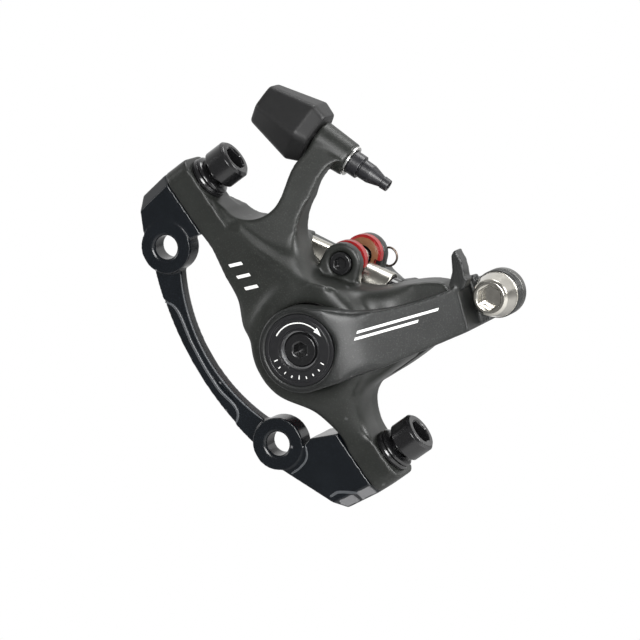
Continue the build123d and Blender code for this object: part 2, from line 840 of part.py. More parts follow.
# Pinch bolt, washer and nut that hold the levers' lugs and the cable
with BuildPart() as anchor_washer:
    with BuildSketch(anchor_plane.offset(lug_thick)):
        Circle(lug_radius - soft_gap)
        Circle(anchor_thread_radius + run_gap, mode=Mode.SUBTRACT)
    extrude(amount=anchor_washer_thick)
keep(anchor_washer, "anchor_washer")

anchor_seat = lug_thick + anchor_washer_thick
with BuildPart() as anchor_bolt:
    add(
        cone_at(
            anchor_plane, anchor_head_back_radius, anchor_head_front_radius,
            anchor_seat, anchor_seat + anchor_head_length,
        )
    )
    with BuildSketch(anchor_plane.offset(anchor_seat + anchor_head_length)):
        RegularPolygon(bolt_key / 2, 6, major_radius=False)
    extrude(amount=-anchor_key_depth, mode=Mode.SUBTRACT)
    with BuildSketch(anchor_plane.offset(anchor_seat)):
        Circle(anchor_thread_radius)
    extrude(amount=-anchor_seat - lug_thick - anchor_nut_thick)
keep(anchor_bolt, "anchor_bolt")

with BuildPart() as anchor_nut:
    with BuildSketch(anchor_plane.offset(-lug_thick)):
        Circle(lug_radius)
    extrude(amount=-anchor_nut_collar)
    with BuildSketch(anchor_plane.offset(-lug_thick)):
        RegularPolygon(anchor_nut_flats / 2, 6, major_radius=False)
    extrude(amount=-anchor_nut_thick)
    with BuildSketch(anchor_plane):
        Circle(anchor_thread_radius + run_gap)
    extrude(amount=-anchor_nut_thick - 2 * lug_thick, mode=Mode.SUBTRACT)
keep(anchor_nut, "anchor_nut")

# Ball-ramp mechanism of the outer side. The cam turns with the lever and is squeezed
# against its thrust washer; the piston can only slide.
ball_depth = (piston_back + cam_front) / 2
ramp_pitch = piston_stroke * 360 / lever_swing
ball_plane = axis_plane.offset(ball_depth)
with BuildPart() as outer_balls:
    with BuildSketch(ball_plane) as ball_marks:
        with PolarLocations(ball_ring_radius, 3, start_angle=90):
            Circle(ball_radius)
    with Locations(*[mark.center() for mark in ball_marks.sketch.faces()]):
        Sphere(ball_radius)
keep(outer_balls, "outer_balls")

with BuildPart() as ball_track:
    with BuildLine() as track_path:
        Helix(
            ramp_pitch, piston_stroke, ball_ring_radius,
            center=(pivot_x, rotor_y - ball_depth, pivot_z), direction=(0, 1, 0),
        )
    with BuildSketch(Plane(origin=track_path.line @ 0, z_dir=track_path.line % 0)):
        Circle(ball_radius + run_gap)
    sweep(is_frenet=True)
    with Locations(track_path.line @ 0, track_path.line @ 1):
        Sphere(ball_radius + run_gap)

with BuildPart() as outer_cam:
    add(stack(axis_plane, [(chamber_radius - run_gap, cam_front, cam_back)]))
    add(stack(axis_plane, [(cam_radius, cam_back, hub_back - run_gap)]))
    with BuildSketch(lever_plane.offset(hub_back - run_gap)):
        Circle(cam_radius)
        Rectangle(cam_flats, 2 * hub_radius, mode=Mode.INTERSECT)
    extrude(amount=nut_floor - hub_back)
    add(stack(axis_plane, [(cam_thread_radius, nut_floor - soft_gap, dial_floor - run_gap)]))
    with BuildSketch(axis_plane):
        Circle(cam_bore_radius)
    extrude(amount=hub_face, mode=Mode.SUBTRACT)
    for step in range(3):
        add(ball_track.part.rotate(Axis(pivot_point, (0, 1, 0)), 120 * step), mode=Mode.SUBTRACT)
keep(outer_cam, "outer_cam")

with BuildPart() as outer_piston:
    add(stack(axis_plane, [(piston_radius, foot_back, piston_back)]))
    with BuildSketch(lever_plane.offset(foot_back)):
        with Locations((0, chamber_radius)):
            Rectangle(key_width - 2 * run_gap, 2 * key_height - 2 * run_gap)
    extrude(amount=piston_thick)
    with BuildSketch(axis_plane):
        Circle(cam_bore_radius)
    extrude(amount=cam_front, mode=Mode.SUBTRACT)
    with BuildSketch(axis_plane.offset(foot_back)):
        Circle(flange_radius + run_gap)
    extrude(amount=flange_thick + run_gap, mode=Mode.SUBTRACT)
    with Locations(*[mark.center() for mark in ball_marks.sketch.faces()]):
        Sphere(ball_radius + run_gap / 3, mode=Mode.SUBTRACT)
keep(outer_piston, "outer_piston")

with BuildPart() as outer_adjuster:
    add(stack(axis_plane, [(flange_radius, foot_back, foot_back + flange_thick)]))
    add(stack(axis_plane, [(adjuster_radius, foot_back, adjuster_end)]))
    with BuildSketch(axis_plane.offset(foot_back)):
        Circle(stud_radius + run_gap)
    extrude(amount=adjuster_bore_end - foot_back, mode=Mode.SUBTRACT)
    with BuildSketch(axis_plane.offset(adjuster_end)):
        RegularPolygon(adjuster_key / 2, 6, major_radius=False)
    extrude(amount=-adjuster_key_depth, mode=Mode.SUBTRACT)
keep(outer_adjuster, "outer_adjuster")

with BuildPart() as outer_foot:
    add(stack(axis_plane, [(foot_radius, plate_back, foot_back)]))
    add(stack(axis_plane, [(stud_radius, foot_back, foot_back + stud_length)]))
keep(outer_foot, "outer_foot")

with BuildPart() as outer_thrust_washer:
    with BuildSketch(axis_plane.offset(cam_back)):
        Circle(chamber_radius - soft_gap)
        Circle(bush_bore_radius, mode=Mode.SUBTRACT)
    extrude(amount=thrust_thick)
keep(outer_thrust_washer, "outer_thrust_washer")

with BuildPart() as outer_bush:
    with BuildSketch(axis_plane.offset(thrust_back)):
        Circle(bush_radius - run_gap)
        Circle(bush_bore_radius, mode=Mode.SUBTRACT)
    extrude(amount=drum_wall)
keep(outer_bush, "outer_bush")

with BuildPart() as outer_spring:
    spring_floor = drum_face - spring_pocket + spring_wire / 2
    with BuildLine() as spring_path:
        Helix(
            spring_pitch, spring_pitch * spring_turns, spring_radius,
            center=(pivot_x, rotor_y - spring_floor, pivot_z), direction=(0, -1, 0),
        )
    with BuildSketch(Plane(origin=spring_path.line @ 0, z_dir=spring_path.line % 0)):
        Circle(spring_wire / 2)
    sweep(is_frenet=True)
keep(outer_spring, "outer_spring")

with BuildPart() as outer_lock_nut:
    with BuildSketch(axis_plane.offset(nut_floor)):
        Circle(lock_nut_radius)
        Circle(cam_thread_radius + run_gap, mode=Mode.SUBTRACT)
    extrude(amount=nut_thick - run_gap)
keep(outer_lock_nut, "outer_lock_nut")

with BuildPart() as outer_dial:
    with BuildSketch(axis_plane.offset(dial_floor)):
        Circle(dial_radius)
        Circle(dial_hole_radius, mode=Mode.SUBTRACT)
    extrude(amount=dial_thick)
    with BuildSketch(axis_plane.offset(dial_floor + dial_thick)):
        Circle(dial_hole_radius + 2 * dial_groove)
        Circle(dial_hole_radius + dial_groove, mode=Mode.SUBTRACT)
    extrude(amount=-dial_groove, mode=Mode.SUBTRACT)
keep(outer_dial, "outer_dial")

# Brake pad of the outer side: steel plate with its tab, and the lining
with BuildPart() as outer_plate:
    with BuildSketch(pad_plane.offset(lining_back)):
        with Locations((tab_reach - tab_head_radius, tab_shift)):
            Circle(tab_head_radius)
        with Locations((tab_head_from - tab_head_radius, tab_shift)):
            Rectangle(2 * tab_head_radius, 2 * tab_head_radius, mode=Mode.SUBTRACT)
        with Locations((tab_head_from / 2, tab_shift)):
            Rectangle(tab_head_from, tab_width)
        with Locations(((plate_top - plate_bottom) / 2, tab_shift)):
            pad_blank = Rectangle(plate_top + plate_bottom, 2 * plate_half_width)
            chamfer(pad_blank.vertices(), plate_corner)
        with Locations((pin_reach, tab_shift)):
            Circle(pin_radius + soft_gap, mode=Mode.SUBTRACT)
    extrude(amount=plate_thick)
keep(outer_plate, "outer_plate")

with BuildPart() as outer_lining:
    with BuildSketch(pad_plane.offset(pad_room)):
        with Locations(((plate_top - plate_bottom) / 2, tab_shift)):
            lining_blank = Rectangle(
                plate_top + plate_bottom - 2 * lining_inset,
                2 * plate_half_width - 2 * lining_inset,
            )
            chamfer(lining_blank.vertices(), plate_corner)
    extrude(amount=lining_thick)
keep(outer_lining, "outer_lining")

# The wheel's side of the mechanism and its pad are the outer ones mirrored
mirrored_pieces = {
    "balls": outer_balls,
    "cam": outer_cam,
    "piston": outer_piston,
    "adjuster": outer_adjuster,
    "foot": outer_foot,
    "thrust_washer": outer_thrust_washer,
    "bush": outer_bush,
    "spring": outer_spring,
    "lock_nut": outer_lock_nut,
    "dial": outer_dial,
    "plate": outer_plate,
    "lining": outer_lining,
}
for name, piece in mirrored_pieces.items():
    with BuildPart() as inner_piece:
        mirror(piece.part, about=rotor_face)
    keep(inner_piece, f"inner_{name}")

# Polished sleeves and the two pins that carry them
with BuildPart() as bridge_sleeves:
    for low, high in (lower_sleeve, upper_sleeve):
        with BuildSketch(cross_plane.offset(low)):
            Circle(sleeve_radius)
            Circle(sleeve_radius - sleeve_wall, mode=Mode.SUBTRACT)
        extrude(amount=high - low)
keep(bridge_sleeves, "bridge_sleeves")

with BuildPart() as cross_pins:
    for low, high in ((lower_sleeve[0] - cross_pin_grip + soft_gap, lower_sleeve[1] - soft_gap),
                      (upper_sleeve[0] + soft_gap, upper_sleeve[1] + cross_pin_grip - soft_gap)):
        with BuildSketch(cross_plane.offset(low)):
            Circle(cross_pin_radius - run_gap)
        extrude(amount=high - low)
keep(cross_pins, "cross_pins")

# Pad pin with its socket head, and the wire clip in the groove at its far end
with BuildPart() as pad_pin:
    head_back = ear_front + pin_head_proud - pin_head_thick
    add(stack(pin_plane, [(pin_head_radius, head_back, head_back + pin_head_thick)]))
    add(stack(pin_plane, [(pin_radius, -pin_groove[0], head_back)]))
    add(stack(pin_plane, [(pin_groove_radius, -pin_groove[1], -pin_groove[0])]))
    add(stack(pin_plane, [(pin_radius, -pin_end, -pin_groove[1])]))
    with BuildSketch(pin_plane.offset(head_back + pin_head_thick)):
        RegularPolygon(pin_key / 2, 6, major_radius=False)
    extrude(amount=-pin_key_depth, mode=Mode.SUBTRACT)
keep(pad_pin, "pad_pin")

clip_turn = math.radians(clip_angle)
clip_plane = Plane(
    origin=pin_plane.origin + Vector(0, (pin_groove[0] + pin_groove[1]) / 2, 0),
    x_dir=(math.cos(clip_turn), 0, math.sin(clip_turn)),
    z_dir=(0, -1, 0),
)
clip_inner = pin_groove_radius + run_gap + clip_wire / 2
clip_path_points = [
    (clip_inner * math.cos(math.radians(turn)), clip_inner * math.sin(math.radians(turn)))
    for turn in (260, 225, 180, 135, 90)
] + [
    (clip_reach + clip_ring_radius * math.cos(math.radians(turn)),
     clip_ring_radius * math.sin(math.radians(turn)))
    for turn in (125, 90, 45, 0, -45, -90, -135, -170)
]
with BuildPart() as pin_clip:
    with BuildLine(clip_plane) as clip_path:
        Spline(*clip_path_points)
    with BuildSketch(Plane(origin=clip_path.line @ 0, z_dir=clip_path.line % 0)):
        Circle(clip_wire / 2)
    sweep()
keep(pin_clip, "pin_clip")

# Pad spring: a thin saddle over the pad pin that presses the two tabs
saddle_inner = pin_radius + soft_gap / 2
saddle_outer = saddle_inner + saddle_thick
leg_drop = saddle_foot - pin_reach
with BuildPart() as pad_spring:
    with BuildSketch(pin_plane.offset(-saddle_half)):
        Circle(saddle_outer)
        with Locations((leg_drop / 2, 0)):
            Rectangle(-leg_drop, 2 * saddle_outer)
        Circle(saddle_inner, mode=Mode.SUBTRACT)
        with Locations((leg_drop, 0)):
            Rectangle(-2 * leg_drop, 2 * saddle_inner, mode=Mode.SUBTRACT)
    extrude(amount=2 * saddle_half)
keep(pad_spring, "pad_spring")

# Barrel adjuster: threaded barrel, its silver ring, the cable nozzle and the knob
with BuildPart() as barrel_insert:
    with BuildSketch(barrel_plane.offset(boss_end)):
        Circle(boss_end_radius - soft_gap)
        Circle(barrel_radius + run_gap, mode=Mode.SUBTRACT)
    extrude(amount=insert_thick)
keep(barrel_insert, "barrel_insert")

barrel_top = housing_depth - knob_back
barrel_bottom = boss_end + insert_thick
with BuildPart() as barrel_screw:
    with BuildSketch(barrel_plane.offset(barrel_top)):
        Circle(barrel_radius)
        Circle(cable_radius, mode=Mode.SUBTRACT)
    extrude(amount=barrel_bottom - barrel_top)
keep(barrel_screw, "barrel_screw")

with BuildPart() as cable_nozzle:
    add(stack(barrel_plane.offset(barrel_bottom), nozzle_steps))
    add(cone_at(barrel_plane.offset(barrel_bottom), *nozzle_cone))
    with BuildSketch(barrel_plane.offset(barrel_bottom)):
        Circle(cable_radius)
    extrude(amount=nozzle_length, mode=Mode.SUBTRACT)
keep(cable_nozzle, "cable_nozzle")

with BuildPart() as knob:
    for radius, place in knob_sections:
        with BuildSketch(barrel_plane.offset(place)) as facets:
            RegularPolygon(radius, 6, major_radius=False)
            fillet(facets.vertices(), knob_corner)
    loft(ruled=True)
    with BuildSketch(barrel_plane.offset(-knob_back)):
        Circle(housing_radius)
    extrude(amount=housing_depth, mode=Mode.SUBTRACT)
    with BuildSketch(barrel_plane.offset(barrel_top)):
        Circle(barrel_radius + run_gap)
    extrude(amount=knob_front - barrel_top, mode=Mode.SUBTRACT)
keep(knob, "knob")
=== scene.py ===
import math

import bmesh
import bpy
import numpy as np
from mathutils import Matrix, Vector


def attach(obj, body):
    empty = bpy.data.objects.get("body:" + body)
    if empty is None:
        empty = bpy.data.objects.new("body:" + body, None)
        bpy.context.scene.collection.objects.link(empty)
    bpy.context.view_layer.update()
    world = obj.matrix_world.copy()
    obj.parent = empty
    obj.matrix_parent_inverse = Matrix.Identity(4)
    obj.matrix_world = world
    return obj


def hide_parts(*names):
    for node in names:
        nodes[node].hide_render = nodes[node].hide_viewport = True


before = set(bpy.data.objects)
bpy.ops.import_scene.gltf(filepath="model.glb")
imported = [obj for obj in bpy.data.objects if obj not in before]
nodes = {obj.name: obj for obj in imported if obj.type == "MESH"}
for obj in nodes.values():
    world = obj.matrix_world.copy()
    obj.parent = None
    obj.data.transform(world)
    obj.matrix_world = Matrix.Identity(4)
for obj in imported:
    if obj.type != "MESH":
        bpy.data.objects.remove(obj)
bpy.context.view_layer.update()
MM = 0.001

# The studio. The caliper is seen from its lever side, rolled so that the cable arm points up.
# A pale table lies below it, the backdrop is white, and the room behind the camera is dim.
scene = bpy.context.scene
scene.view_settings.view_transform = "Standard"


class Wire:
    """A shader socket that can be used in sums: a + b, a * 2, 1 - a and so on."""

    def __init__(self, tree, socket):
        self.tree = tree
        self.socket = socket

    def node(self, kind, output=0, settings=None, **inputs):
        """Any other node: its type, its settings, and the values or wires of its sockets, by
        name or as i and the socket's number."""
        made = self.tree.nodes.new(kind)
        for key, value in (settings or {}).items():
            setattr(made, key, value)
        for key, value in inputs.items():
            name = key.replace("_", " ")
            target = made.inputs[int(key[1:])] if key[1:].isdigit() else made.inputs[name]
            if isinstance(value, Wire):
                self.tree.links.new(value.socket, target)
            else:
                target.default_value = value
        return Wire(self.tree, made.outputs[output])

    def maths(self, operation, other, swapped=False):
        first, second = (other, self) if swapped else (self, other)
        return self.node("ShaderNodeMath", settings={"operation": operation}, i0=first, i1=second)

    def __add__(self, other):
        return self.maths("ADD", other)

    __radd__ = __add__

    def __sub__(self, other):
        return self.maths("SUBTRACT", other)

    def __rsub__(self, other):
        return self.maths("SUBTRACT", other, swapped=True)

    def __mul__(self, other):
        return self.maths("MULTIPLY", other)

    __rmul__ = __mul__

    def __gt__(self, other):
        return self.maths("GREATER_THAN", other)

    def __lt__(self, other):
        return self.maths("LESS_THAN", other)


target = Vector((20.4, 8.8, -6.0)) * MM
camera_distance = 0.700
camera_right = Vector((0.7930, 0.3553, -0.4953)).normalized()
camera_up = Vector((0.3851, -0.9223, -0.0450)).cross(camera_right).normalized()
camera_back = camera_right.cross(camera_up).normalized()
camera = bpy.data.objects.new("camera", bpy.data.cameras.new("camera"))
camera.data.lens = 174.8
camera.data.sensor_width = 36
camera.data.clip_start = 0.05
scene.collection.objects.link(camera)
camera.matrix_world = Matrix.Translation(target + camera_back * camera_distance) @ Matrix(
    (camera_right, camera_up, camera_back)
).transposed().to_4x4()
scene.camera = camera


def lamp(name, place, size, watts):
    """A soft square lamp that faces the caliper."""
    data = bpy.data.lights.new(name, "AREA")
    data.size = size
    data.energy = watts
    made = bpy.data.objects.new(name, data)
    scene.collection.objects.link(made)
    made.location = target + Vector(place)
    made.rotation_euler = (-Vector(place)).to_track_quat("-Z", "Y").to_euler()


lamp("right_lamp", camera_right * 0.45 + camera_up * 0.20 + camera_back * 0.10, 0.20, 2.6)
lamp("top_lamp", camera_up * 0.52 + camera_right * 0.16 - camera_back * 0.05, 0.22, 1.4)
lamp("front_lamp", camera_back * 0.55 - camera_right * 0.02 + camera_up * 0.06, 0.26, 4.4)
lamp("left_lamp", camera_right * -0.50 + camera_back * 0.02 + camera_up * 0.12, 0.14, 0.5)

world = bpy.data.worlds.new("studio")
scene.world = world
world.use_nodes = True
sky = Wire(world.node_tree, world.node_tree.nodes["World Output"].inputs[0])
camera_rays, glossy_rays, clear_rays = (
    sky.node("ShaderNodeLightPath", output=name)
    for name in ("Is Camera Ray", "Is Glossy Ray", "Is Transmission Ray")
)
heading = sky.node("ShaderNodeTexCoord", output="Generated")
facing = sky.node("ShaderNodeVectorMath", output=1, settings={"operation": "DOT_PRODUCT"},
                  i0=heading, i1=tuple(-camera_back))
# Reflections see the white backdrop behind the caliper and the dim room behind the camera
backdrop = sky.node("ShaderNodeMapRange", i0=facing, i1=-0.35, i2=0.55)
strength = camera_rays.maths("MAXIMUM", clear_rays).maths("MAXIMUM", glossy_rays * backdrop)
room_light = 0.22
strength = strength * (1 - room_light) + room_light
studio = world.node_tree.nodes["Background"]
studio.inputs["Color"].default_value = (1, 1, 1, 1)
world.node_tree.links.new(strength.socket, studio.inputs["Strength"])


def principled(name):
    """A new material, its shader node and a wire to build on."""
    made = bpy.data.materials.new(f"{name}_finish")
    made.use_nodes = True
    shader = made.node_tree.nodes["Principled BSDF"]
    return made, shader, Wire(made.node_tree, shader.outputs[0])


def plug(shader, **sockets):
    """Sets or links the shader's sockets by name."""
    for key, value in sockets.items():
        target_socket = shader.inputs[key.replace("_", " ")]
        if isinstance(value, Wire):
            value.tree.links.new(value.socket, target_socket)
        else:
            target_socket.default_value = value


table_half = 1.2
table_drop = 0.30
table_glow = 0.75
table_mesh = bpy.data.meshes.new("table")
table_mesh.from_pydata(
    [(x, y, -table_drop) for x, y in ((-table_half, -table_half), (table_half, -table_half),
                                      (table_half, table_half), (-table_half, table_half))],
    [], [(0, 1, 2, 3)],
)
table = bpy.data.objects.new("table", table_mesh)
scene.collection.objects.link(table)
table_paint, table_shader, table_wire = principled("table_paint")
plug(table_shader, Base_Color=(0.93, 0.93, 0.93, 1), Roughness=0.9)
table_mesh.materials.append(table_paint)
camera_ray = table_wire.node("ShaderNodeLightPath", output="Is Camera Ray")
white = table_wire.node("ShaderNodeEmission", Color=(1, 1, 1, 1), Strength=1.0)
mixed = table_wire.node("ShaderNodeMixShader", i0=camera_ray * table_glow, i1=table_wire, i2=white)
table_wire.tree.links.new(mixed.socket, table_wire.tree.nodes["Material Output"].inputs[0])


# Adapter bracket: machined from aluminium plate and anodised glossy black. Its two round
# bosses bolt to the frame, its two posts carry the caliper; the edges are broken all round.
def blend(wire, share, first, second):
    """Colour mix: (1 - share) of the first colour and share of the second."""
    return wire.node("ShaderNodeMix", output=2, settings={"data_type": "RGBA"},
                     i0=share, i6=first, i7=second)


def shade(colour, factor):
    """A colour times a factor, kept within 1, with its alpha."""
    return (*(min(value * factor, 1) for value in colour), 1)


def black_metal(name, colour, rough, grain, edge, marks=None, grooves=None):
    """Satin black over a fine grain with pale specks; tone and roughness drift over 8 mm, and
    sharp edges are painted paler as a painted highlight. marks(wire, place) gives a mask of pale
    print, and grooves(wire, place) one of turned grooves, which are also painted darker as shade."""
    made, shader, wire = principled(name)
    place = wire.node("ShaderNodeTexCoord", output="Object")
    drift = wire.node("ShaderNodeTexNoise", Vector=place, Scale=120.0, Detail=3.0)
    fine = wire.node("ShaderNodeTexNoise", Vector=place, Scale=3600.0, Detail=2.0)
    specks = wire.node("ShaderNodeMapRange", i0=fine, i1=0.56, i2=0.70)
    edge_sharpness = wire.node("ShaderNodeNewGeometry", output="Pointiness")
    edge_highlight = wire.node("ShaderNodeMapRange", i0=edge_sharpness, i1=0.53, i2=0.62)
    tone = blend(wire, drift, shade(colour, 0.7), shade(colour, 1.35))
    tone = blend(wire, specks * grain, tone, shade(colour, 5.0))
    # Painted highlight: sharp edges, found by pointiness, are painted pale grey.
    tone = blend(wire, edge_highlight * edge, tone, (0.16, 0.16, 0.165, 1))
    rough_map = drift * 0.14 + (rough - 0.07) + fine * 0.05
    if marks:
        mask = marks(wire, place)
        tone = blend(wire, mask, tone, (0.80, 0.80, 0.78, 1))
    bump = wire.node("ShaderNodeBump", Height=fine, Strength=grain, Distance=0.00005)
    if grooves:
        mask = grooves(wire, place)
        # Painted shade: the grooves are painted near black.
        tone = blend(wire, mask * 0.7, tone, (0.001, 0.001, 0.001, 1))
        bump = wire.node("ShaderNodeBump", Height=1 - mask, Strength=1.0, Distance=0.00012,
                         Normal=bump)
    plug(shader, Base_Color=tone, Roughness=rough_map, Normal=bump, Specular_IOR_Level=0.36)
    return made


def dress(node, finish):
    """Gives a node or a piece its finish, as its only material."""
    node.data.materials.clear()
    node.data.materials.append(finish)


def stand_in(piece, node, finish, body):
    """The piece takes a node's place, its finish and the body it moves with."""
    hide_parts(node)
    dress(piece, finish)
    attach(piece, body)


def merged_copy(name, node):
    """A copy of a CAD solid's mesh with its loose triangles joined."""
    made = bpy.data.objects.new(name, nodes[node].data.copy())
    scene.collection.objects.link(made)
    work = bmesh.new()
    work.from_mesh(made.data)
    bmesh.ops.remove_doubles(work, verts=work.verts, dist=1e-6)
    work.to_mesh(made.data)
    work.free()
    made.data.shade_smooth()
    return made


def forge(piece, cell, passes, bent=None, zone=None, zone_passes=0):
    """Rebuilds the piece on a grid of small cells and rounds it: on each pass a point moves
    halfway to the mean of its neighbours. bent(points) may move the points first, and
    zone(points) gives the share, 0 to 1, of each point's further passes."""
    cells = piece.modifiers.new("cells", "REMESH")
    cells.mode = "VOXEL"
    cells.voxel_size = cell * MM
    cells.use_smooth_shade = True
    depsgraph = bpy.context.evaluated_depsgraph_get()
    mesh = bpy.data.meshes.new_from_object(piece.evaluated_get(depsgraph))
    piece.modifiers.clear()
    piece.data = mesh
    size = len(mesh.vertices)
    points = np.empty(size * 3)
    mesh.vertices.foreach_get("co", points)
    points = points.reshape(-1, 3) / MM
    ends = np.empty(len(mesh.edges) * 2, dtype=np.int64)
    mesh.edges.foreach_get("vertices", ends)
    here, there = np.concatenate([ends.reshape(-1, 2), ends.reshape(-1, 2)[:, ::-1]]).T
    count = np.maximum(np.bincount(here, minlength=size), 1)
    if bent:
        points = bent(points)
    further = zone(points) if zone else np.zeros(size)
    for step in range(passes + zone_passes):
        share = 0.5 if step < passes else 0.5 * further[:, None]
        mean = np.stack(
            [np.bincount(here, points[there, k], minlength=size) / count for k in range(3)], axis=1
        )
        points = points + share * (mean - points)
    mesh.vertices.foreach_set("co", (points * MM).ravel())
    mesh.update()


# edge 0.9: a strong painted highlight along the bracket's sharp edges
bracket_black = black_metal("bracket_black", (0.0038, 0.0050, 0.0066), 0.20, 0.20, 0.9)
bracket = merged_copy("bracket_forging", "mount_bracket")
forge(bracket, 0.24, 3)
stand_in(bracket, "mount_bracket", bracket_black, "caliper")


def grid_piece(name, points, closed):
    """Joins rows of points to quads; points has the shape copies, rows, columns, 3. A closed
    grid also joins its last column to its first. Points that meet are merged."""
    copies, rows, columns, _ = points.shape
    last = columns if closed else columns - 1
    row, column = np.meshgrid(np.arange(rows - 1), np.arange(last), indexing="ij")
    first = (row * columns + column).ravel()
    second = (row * columns + (column + 1) % columns).ravel()
    quads = np.stack([first, second, second + columns, first + columns], axis=1)
    quads = (quads[None] + (np.arange(copies) * rows * columns)[:, None, None]).reshape(-1, 4)
    mesh = bpy.data.meshes.new(name)
    mesh.from_pydata((points.reshape(-1, 3) * MM).tolist(), [], quads.tolist())
    work = bmesh.new()
    work.from_mesh(mesh)
    bmesh.ops.remove_doubles(work, verts=work.verts, dist=2e-7)
    work.to_mesh(mesh)
    work.free()
    mesh.shade_smooth()
    made = bpy.data.objects.new(name, mesh)
    scene.collection.objects.link(made)
    return made


def through(places, count):
    """A curve along a few places: evenly spaced points on the straight lines between them,
    rounded by moving each halfway to the mean of its neighbours, 120 times."""
    places = np.array(places, float)
    run = np.concatenate([[0], np.cumsum(np.linalg.norm(np.diff(places, axis=0), axis=1))])
    spots = np.linspace(0, run[-1], count)
    path = np.stack([np.interp(spots, run, places[:, k]) for k in range(3)], axis=1)
    for _ in range(120):
        path[1:-1] += 0.5 * ((path[:-2] + path[2:]) / 2 - path[1:-1])
    return path


def bead(name, path, half_width, height, finish):
    """A thin bead along a path on the bracket's face: an ellipse, half_width across its
    heading and height towards -Y, that closes to a point at both ends."""
    heading = np.gradient(path, axis=0)
    heading = heading / np.linalg.norm(heading, axis=1)[:, None]
    level = np.array((0.0, 1.0, 0.0))
    side = np.cross(level, heading)
    angle = np.linspace(0, 2 * np.pi, 16, endpoint=False)
    ring = half_width * np.cos(angle)[None, :, None] * side[:, None]
    ring = ring + height * np.sin(angle)[None, :, None] * level
    taper = np.sqrt(np.clip(1 - np.linspace(-1, 1, len(path)) ** 8, 0, 1))
    made = grid_piece(name, (path[:, None] + taper[:, None, None] * ring)[None], True)
    dress(made, finish)
    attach(made, "caliper")


# Painted highlights on the bracket's rounded edges: thin beads in a paler black along the step
#  on its arc, the arc's inner edge, and two ribs on the lower post. Each path is a list of (x, z)
#  on a face at the given y.
painted_highlight_black = black_metal("bracket_painted_highlight", (0.055, 0.059, 0.064), 0.30, 0.1, 0.0)
arc_face, post_face = 1.2, 0.2
step_lift, edge_lift, rib_lift = 0.1, 0.16, 0.05
step_line = [(-7.4, 15.2), (-5.8, 13.8), (-5.6, 11.1), (-6.6, 4.6), (-6.8, -2.5), (-6.4, -8.8),
             (-5.0, -12.6), (-4.9, -15.2), (-7.0, -16.9)]
boss_rib = [(-0.8, -32.9), (1.5, -32.8), (3.7, -32.2), (5.1, -31.0), (5.8, -28.9)]
foot_rib = [(4.7, -41.7), (6.9, -41.5), (9.0, -42.6), (11.3, -44.1)]
step_path = through([(x, arc_face + step_lift, z) for x, z in step_line], 240)
bead("bracket_step_edge", step_path, 0.42, 0.30, painted_highlight_black)
edge_radius, edge_x, edge_z = 41.5, 36.35, -0.25
arc_turn = np.radians(np.linspace(-27.5, 27.5, 160))
inner_edge = np.stack([
    edge_x - edge_radius * np.cos(arc_turn), np.full(160, arc_face + edge_lift),
    edge_radius * np.sin(arc_turn) + edge_z,
], axis=1)
bead("bracket_inner_edge", inner_edge, 0.26, 0.26, painted_highlight_black)
boss_path = through([(x, post_face + rib_lift, z) for x, z in boss_rib], 120)
bead("bracket_boss_rib", boss_path, 0.26, 0.20, painted_highlight_black)
foot_path = through([(x, post_face + rib_lift, z) for x, z in foot_rib], 120)
bead("bracket_foot_rib", foot_path, 0.34, 0.22, painted_highlight_black)


# Bolts and washers: two M6 socket bolts, black oxide, each over a domed and a dished washer
# that let the caliper find the rotor's plane. The threads show between head and washer.
def eased(profile, size):
    """The profile with its corners rounded: near a corner it runs on the curve
    (1-t)^2 before + 2t(1-t) corner + t^2 after, with t from 0 to 1. A curve takes up size mm
    of a side, or 0.46 of a short one."""
    rows = np.array(profile, float)
    before = rows[:-2] - rows[1:-1]
    after = rows[2:] - rows[1:-1]
    corner = rows[1:-1]

    def reach(step, most):
        length = np.maximum(np.linalg.norm(step[:, :2], axis=1), 1e-9)
        return step * np.minimum(most / length, 0.46)[:, None]

    start, end = corner + reach(before, size), corner + reach(after, size)
    share = np.linspace(0, 1, 5)[None, :, None]
    curve = (1 - share) ** 2 * start[:, None] + 2 * share * (1 - share) * corner[:, None]
    curve = curve + share ** 2 * end[:, None]
    wide_start, wide_end = corner + reach(before, 2 * size), corner + reach(after, 2 * size)
    rounded = np.concatenate([wide_start[:, None], curve, wide_end[:, None]], axis=1)
    return np.vstack([rows[:1], rounded.reshape(-1, 3), rows[-1:]])


def turned(name, feet, axis, profile, ease):
    """A lathe piece of 96 sides at each foot, its corners rounded over ease. A profile row is
    height along the axis, radius, and the share of a hexagon; at angle a the radius is
    radius * (1 - share + share / cos(a mod 60 - 30))."""
    axis = np.array(axis, float) / np.linalg.norm(axis)
    side = np.cross(axis, (0.0, 0.0, 1.0))
    side = side / np.linalg.norm(side)
    up = np.cross(axis, side)
    rows = eased(profile, ease)
    angle = np.linspace(0, 2 * np.pi, 96, endpoint=False)
    sector = angle % (np.pi / 3) - np.pi / 6
    height, radius, share = rows[:, 0:1], rows[:, 1:2], rows[:, 2:3]
    reach = radius * (1 - share + share / np.cos(sector))
    ring = (reach * np.cos(angle))[..., None] * side + (reach * np.sin(angle))[..., None] * up
    points = ring + height[..., None] * axis
    feet = np.array(feet, float).reshape(-1, 1, 1, 3)
    return grid_piece(name, feet + points[None], True)


def plain_metal(name, colour, rough, metallic=1.0, scratch=0.2, **constants):
    """Metal with a fine grain and a slow drift of tone and roughness."""
    made, shader, wire = principled(name)
    place = wire.node("ShaderNodeTexCoord", output="Object")
    drift = wire.node("ShaderNodeTexNoise", Vector=place, Scale=700.0, Detail=4.0)
    fine = wire.node("ShaderNodeTexNoise", Vector=place, Scale=6000.0, Detail=2.0)
    tone = blend(wire, drift, shade(colour, 0.85), shade(colour, 1.1))
    bump = wire.node("ShaderNodeBump", Height=fine, Strength=scratch, Distance=0.00003)
    plug(shader, Base_Color=tone, Metallic=metallic, Roughness=drift * 0.12 + (rough - 0.06),
         Normal=bump, **constants)
    return made


